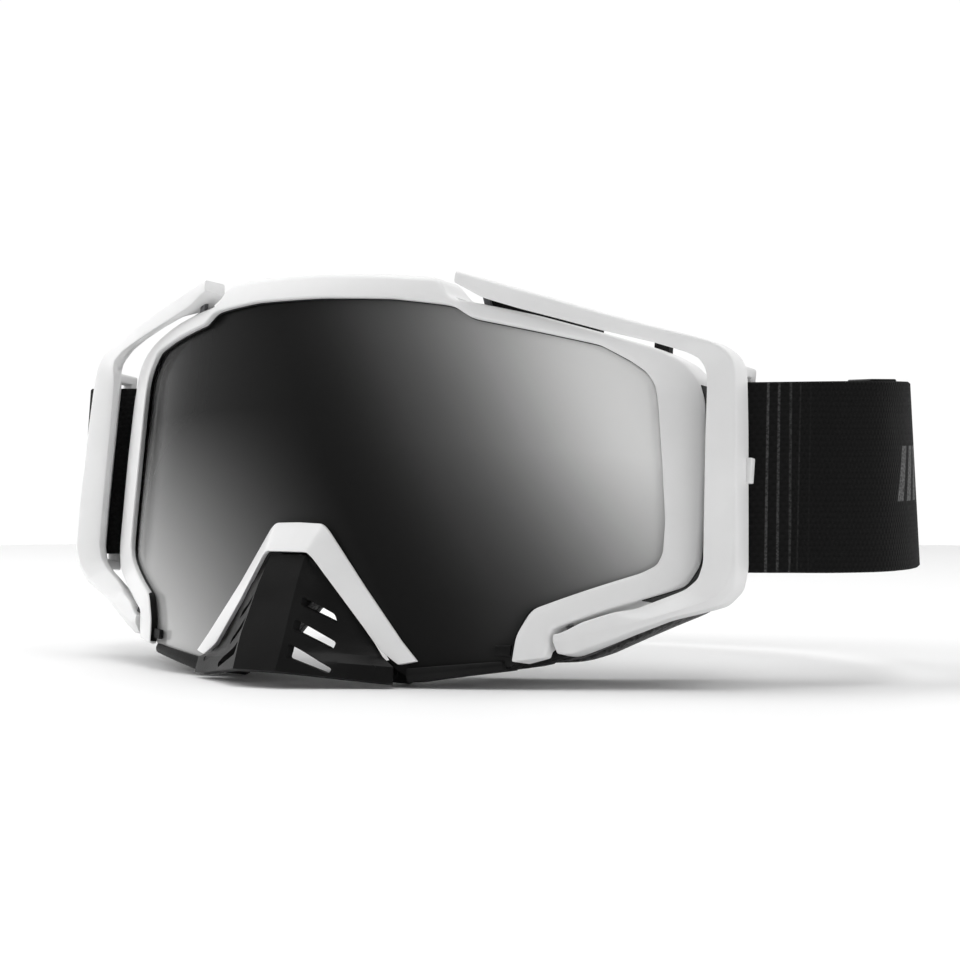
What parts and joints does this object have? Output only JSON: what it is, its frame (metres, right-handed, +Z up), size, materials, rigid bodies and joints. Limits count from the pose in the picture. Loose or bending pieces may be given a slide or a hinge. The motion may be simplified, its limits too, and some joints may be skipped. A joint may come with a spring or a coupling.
{
  "type": "motorcycle goggles",
  "caption": "Off-road goggles with a bent mirror lens, white shell, hinged strap outriggers, removable nose guard, layered face foam and an elastic strap.",
  "frame": {"origin": "centre of the bounding box, at the height of the lowest point, so that the goggles stand on their underside", "axes": "+X to the wearer's left, +Y back from the lens towards the face and the strap's back, +Z up; the lens leans back by 8 degrees"},
  "size_m": [0.245, 0.1706, 0.0985],
  "materials": {
    "white_plastic": "moulded, satin to gloss",
    "black_plastic": "moulded, matte",
    "mirror_lens": "smoke lens with a silver mirror coat",
    "pin_steel": "plain steel wire",
    "grey_foam": "open-cell foam",
    "black_fleece": "brushed fleece",
    "black_webbing": "woven elastic with thin grey stripes",
    "grey_silicone": "printed silicone lines"
  },
  "bodies": {
    "frame": {"front_shell": "white_plastic", "lens": "mirror_lens", "inner_frame": "black_plastic", "pivot_pin_upper_right": "pin_steel", "pivot_pin_lower_right": "pin_steel", "pivot_pin_upper_left": "pin_steel", "pivot_pin_lower_left": "pin_steel", "foam_base": "grey_foam", "foam_middle": "grey_foam", "face_fleece": "black_fleece", "vent_foam_top": "grey_foam", "vent_foam_lower_right": "grey_foam", "vent_foam_lower_left": "grey_foam", "strap_band": "black_webbing", "strap_tail_right": "black_webbing", "strap_tail_left": "black_webbing", "grip_strip_upper": "grey_silicone", "grip_strip_middle": "grey_silicone", "grip_strip_lower": "grey_silicone"},
    "outrigger_right": {"outrigger_right": "white_plastic", "strap_end_right": "black_webbing"},
    "outrigger_left": {"outrigger_left": "white_plastic", "strap_end_left": "black_webbing"},
    "nose_guard": {"nose_guard": "black_plastic", "nose_trim": "white_plastic"},
    "slider_right": {"strap_slider_right": "black_plastic", "slider_loop_right": "black_webbing"},
    "slider_left": {"strap_slider_left": "black_plastic", "slider_loop_left": "black_webbing"}
  },
  "joints": [
    {"name": "outrigger_right_hinge", "type": "hinge", "parent": "frame", "child": "outrigger_right", "pos_m": [0.042, -0.05031, 0.0931], "axis": [0.2765, 0.0187, -0.9608], "range_deg": [0, 8]},
    {"name": "outrigger_left_hinge", "type": "hinge", "parent": "frame", "child": "outrigger_left", "pos_m": [-0.042, -0.05031, 0.0931], "axis": [0.2765, -0.0187, 0.9608], "range_deg": [0, 8]},
    {"name": "nose_guard_pull", "type": "slide", "parent": "frame", "child": "nose_guard", "axis": [0, -0.9903, 0.1392], "range_m": [0, 0.012]},
    {"name": "slider_right_slide", "type": "slide", "parent": "frame", "child": "slider_right", "axis": [-0.7969, 0.6041, 0], "range_m": [0, 0.016]},
    {"name": "slider_left_slide", "type": "slide", "parent": "frame", "child": "slider_left", "axis": [0.7969, 0.6041, 0], "range_m": [0, 0.016]}
  ]
}
